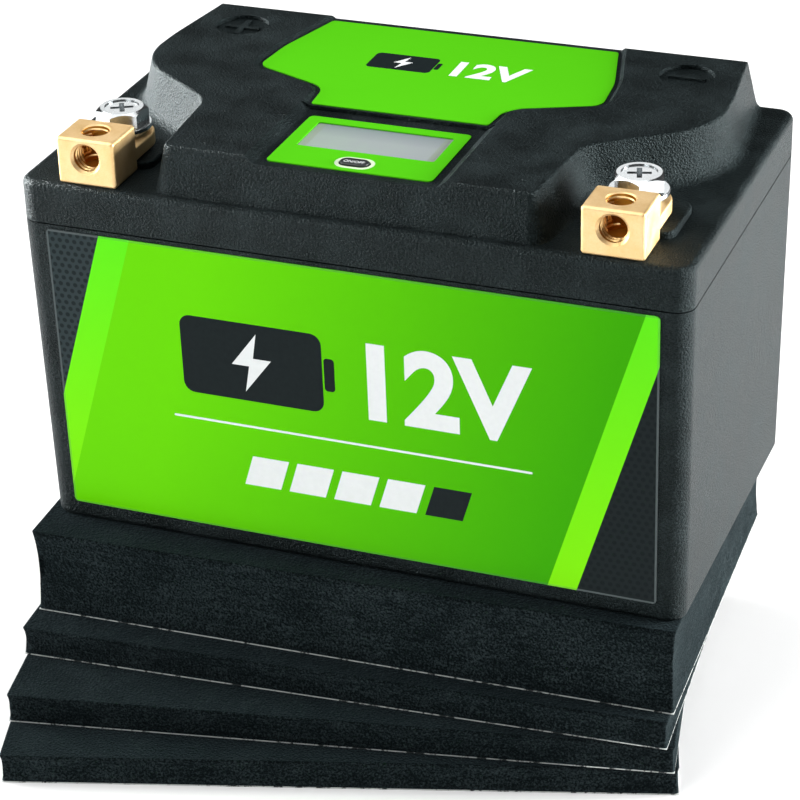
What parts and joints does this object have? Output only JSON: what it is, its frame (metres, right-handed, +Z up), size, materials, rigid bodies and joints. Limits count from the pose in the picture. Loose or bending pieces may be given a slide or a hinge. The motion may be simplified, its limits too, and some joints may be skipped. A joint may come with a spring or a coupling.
{
  "type": "motorcycle battery",
  "caption": "Compact lithium motorcycle battery with brass screw terminals, a raised lid with a charge display and button, and loose foam height spacers under it.",
  "frame": {"origin": "the surface that the spacers stand on, below the battery's vertical axis", "axes": "+X along the length towards the negative terminal, -Y towards the front label and the terminals' front holes, +Z up"},
  "size_m": [0.1688, 0.1323, 0.1375],
  "materials": {
    "case_plastic": "matte",
    "lid_plastic": "matte",
    "label_film": "gloss",
    "screen": "satin",
    "circuit_board": "satin",
    "chip_plastic": "matte",
    "button_plastic": "satin",
    "brass": "satin",
    "zinc_steel": "polished",
    "steel": "satin",
    "copper": "satin",
    "nickel": "satin",
    "cell_sleeve": "satin",
    "holder_plastic": "matte",
    "insulation_sheet": "matte",
    "cable_plastic": "satin",
    "cushion_foam": "matte",
    "spacer_foam": "matte",
    "liner_paper": "satin"
  },
  "bodies": {
    "battery": {"case": "case_plastic", "lid": "lid_plastic", "front_label": "label_film", "top_label": "label_film", "display_overlay": "label_film", "lcd_module": "screen", "display_board": "circuit_board", "display_board_screws": "steel", "tact_switch": "chip_plastic", "display_cable": "cable_plastic", "upper_cell_holder": "holder_plastic", "lower_cell_holder": "holder_plastic", "positive_busbar": "nickel", "upper_link": "nickel", "negative_busbar": "nickel", "lower_left_link": "nickel", "lower_right_link": "nickel", "balance_board": "circuit_board", "board_components": "chip_plastic", "board_screws": "steel", "balance_ribbon": "cable_plastic", "top_insulation": "insulation_sheet", "bottom_insulation": "insulation_sheet", "front_cushion": "cushion_foam", "back_cushion": "cushion_foam", "left_cushion": "cushion_foam", "right_cushion": "cushion_foam", "cell_1": "cell_sleeve", "cell_2": "cell_sleeve", "cell_3": "cell_sleeve", "cell_4": "cell_sleeve", "cell_5": "cell_sleeve", "cell_6": "cell_sleeve", "cell_7": "cell_sleeve", "cell_8": "cell_sleeve", "positive_terminal_block": "brass", "positive_insert": "brass", "positive_strap": "copper", "positive_strap_nut": "steel", "negative_terminal_block": "brass", "negative_insert": "brass", "negative_strap": "copper", "negative_strap_nut": "steel"},
    "on_off_button": {"on_off_button": "button_plastic", "switch_plunger": "button_plastic"},
    "positive_washers": {"positive_flat_washer": "zinc_steel", "positive_spring_washer": "zinc_steel"},
    "positive_bolt": {"positive_bolt": "zinc_steel"},
    "negative_washers": {"negative_flat_washer": "zinc_steel", "negative_spring_washer": "zinc_steel"},
    "negative_bolt": {"negative_bolt": "zinc_steel"},
    "spacer_1": {"foam_spacer_1": "spacer_foam", "spacer_liner_1": "liner_paper"},
    "spacer_2": {"foam_spacer_2": "spacer_foam", "spacer_liner_2": "liner_paper"},
    "spacer_3": {"foam_spacer_3": "spacer_foam", "spacer_liner_3": "liner_paper"},
    "spacer_4": {"foam_spacer_4": "spacer_foam", "spacer_liner_4": "liner_paper"}
  },
  "joints": [
    {"name": "on_off_press", "type": "slide", "parent": "battery", "child": "on_off_button", "axis": [0, 0, -1], "range_m": [0, 0.0003], "stiffness_N_per_m": 3000, "springref_m": -0.0001},
    {"name": "positive_bolt_lift", "type": "slide", "parent": "battery", "child": "positive_washers", "axis": [0, 0, 1], "range_m": [0, 0.006]},
    {"name": "positive_bolt_turn", "type": "hinge", "parent": "positive_washers", "child": "positive_bolt", "pos_m": [-0.0583, -0.024, 0.1339], "axis": [0, 0, 1], "range_deg": [0, 2161]},
    {"name": "negative_bolt_lift", "type": "slide", "parent": "battery", "child": "negative_washers", "axis": [0, 0, 1], "range_m": [0, 0.006]},
    {"name": "negative_bolt_turn", "type": "hinge", "parent": "negative_washers", "child": "negative_bolt", "pos_m": [0.0583, -0.024, 0.1339], "axis": [0, 0, 1], "range_deg": [0, 2161]},
    {"name": "spacer_1_draw", "type": "slide", "parent": "battery", "child": "spacer_1", "axis": [0, -1, 0], "range_m": [0, 0.03]},
    {"name": "spacer_2_draw", "type": "slide", "parent": "battery", "child": "spacer_2", "axis": [0, -1, 0], "range_m": [0, 0.03]},
    {"name": "spacer_3_draw", "type": "slide", "parent": "battery", "child": "spacer_3", "axis": [0, -1, 0], "range_m": [0, 0.03]},
    {"name": "spacer_4_draw", "type": "slide", "parent": "battery", "child": "spacer_4", "axis": [0, -1, 0], "range_m": [0, 0.03]}
  ],
  "couplings": [
    {"joint": "positive_bolt_turn", "follows": "positive_bolt_lift", "rad_per_m": 6283.2},
    {"joint": "negative_bolt_turn", "follows": "negative_bolt_lift", "rad_per_m": 6283.2}
  ]
}
